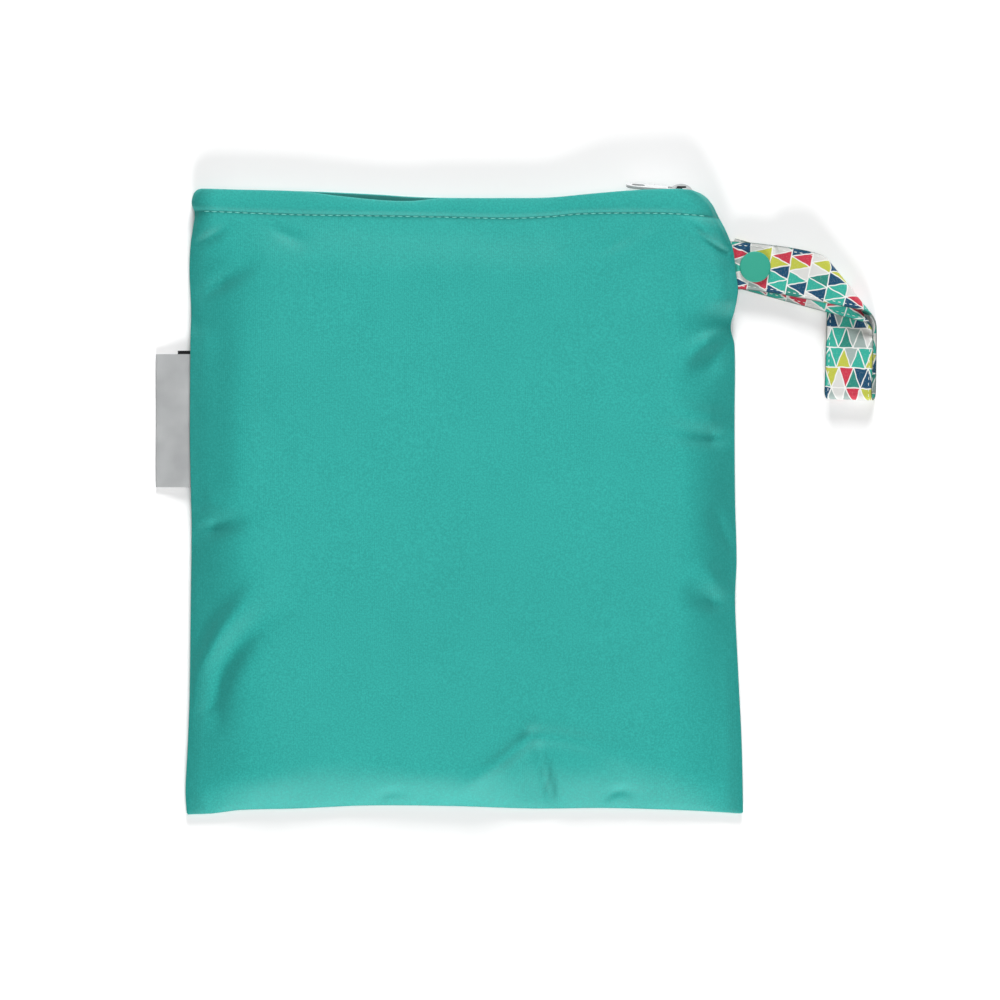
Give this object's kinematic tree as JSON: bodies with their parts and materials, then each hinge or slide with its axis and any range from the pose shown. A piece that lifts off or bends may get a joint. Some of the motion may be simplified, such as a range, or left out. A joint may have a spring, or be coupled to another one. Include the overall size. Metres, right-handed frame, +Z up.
{
  "type": "zipped wet bag with snap loop strap",
  "caption": "Small flat pouch of soft coated knit, with a coil zip in its hemmed mouth and a loop strap with a press snap.",
  "frame": {"origin": "under the middle of the pouch, on the face that it rests on", "axes": "+Z up from the surface that it lies on, +Y from the bottom seam to the mouth, +X to the side with the strap"},
  "size_m": [0.2889, 0.2531, 0.013],
  "materials": {
    "knit": "soft brushed knit with a faint sheen",
    "zip_tape": "woven tape",
    "zip_coil": "satin",
    "white_enamel": "gloss enamel",
    "printed_cotton": "plain weave printed with triangles",
    "green_plastic": "satin",
    "grey_satin": "satin ribbon",
    "black_tape": "woven"
  },
  "bodies": {
    "bag": {"front_panel": "knit", "back_panel": "knit", "zip_tape_front": "zip_tape", "zip_tape_back": "zip_tape", "zip_coil_front": "zip_coil", "zip_coil_back": "zip_coil", "zip_slider": "white_enamel", "strap": "printed_cotton", "snap_cap": "green_plastic", "snap_socket": "green_plastic", "snap_stud": "green_plastic", "snap_back_cap": "green_plastic", "care_label": "grey_satin", "black_tab": "black_tape"},
    "pull": {"zip_pull": "white_enamel"}
  },
  "joints": [
    {"name": "pull_hinge", "type": "hinge", "parent": "bag", "child": "pull", "pos_m": [0.0866, 0.12473, 0.006], "axis": [0, 0.2588, -0.9659], "range_deg": [0, 150]}
  ]
}
